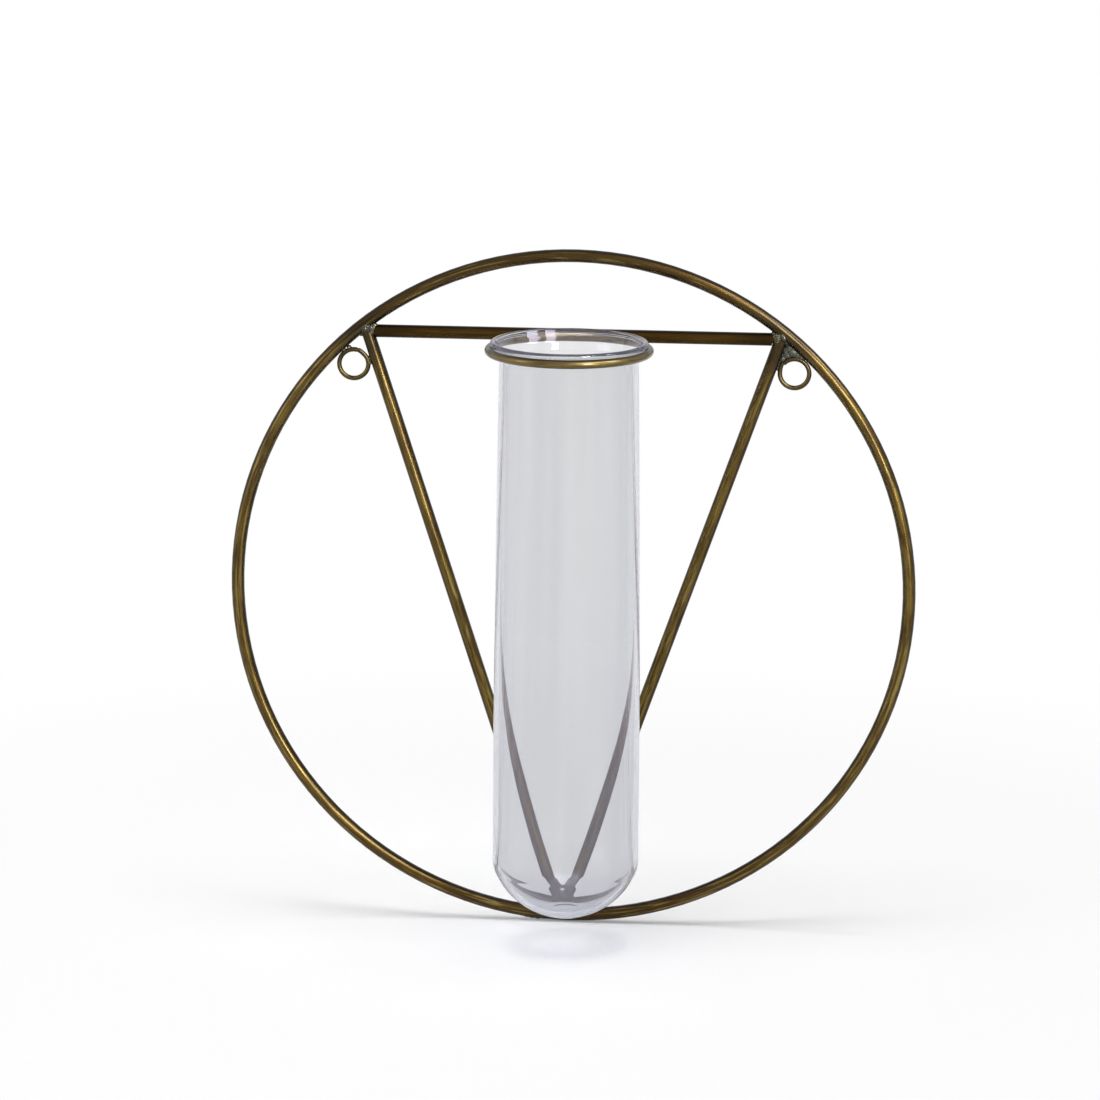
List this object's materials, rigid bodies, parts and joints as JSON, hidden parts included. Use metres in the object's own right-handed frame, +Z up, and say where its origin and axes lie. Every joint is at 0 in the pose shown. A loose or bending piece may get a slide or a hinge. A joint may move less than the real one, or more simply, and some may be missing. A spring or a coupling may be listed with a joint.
{
  "type": "hanging wall vase",
  "caption": "Wall-hung flower vase: a clear glass tube hangs by its lip in a wire collar, in front of a brass hoop braced by rods.",
  "frame": {"origin": "on the wall, midway between the centres of the two hanging eyes", "axes": "+Z up, +Y into the wall, and the vase faces -Y; +X is to the right for someone who looks at the wall"},
  "size_m": [0.24, 0.0631, 0.24],
  "materials": {
    "rod_brass": "aged satin brass, brown and olive, with darker patina along its edges",
    "dark_brass": "heat-darkened brass",
    "eye_brass": "aged satin brass wire",
    "braze": "lumpy brazing metal with grey-green patina",
    "clear_glass": "clear glass with a faint lilac tint, fire-polished at the mouth"
  },
  "bodies": {
    "holder": {"hoop": "rod_brass", "cross_bar": "dark_brass", "left_v_bar": "rod_brass", "right_v_bar": "rod_brass", "tube_collar": "rod_brass", "left_hanging_eye": "eye_brass", "right_hanging_eye": "eye_brass", "left_corner_braze": "braze", "right_corner_braze": "braze", "foot_braze": "braze", "collar_braze": "braze", "left_eye_braze": "braze", "right_eye_braze": "braze"},
    "vase_tube": {"glass_tube": "clear_glass"}
  },
  "joints": [
    {"name": "tube_lift", "type": "slide", "parent": "holder", "child": "vase_tube", "axis": [0, 0, 1], "range_m": [0, 0.21]}
  ]
}
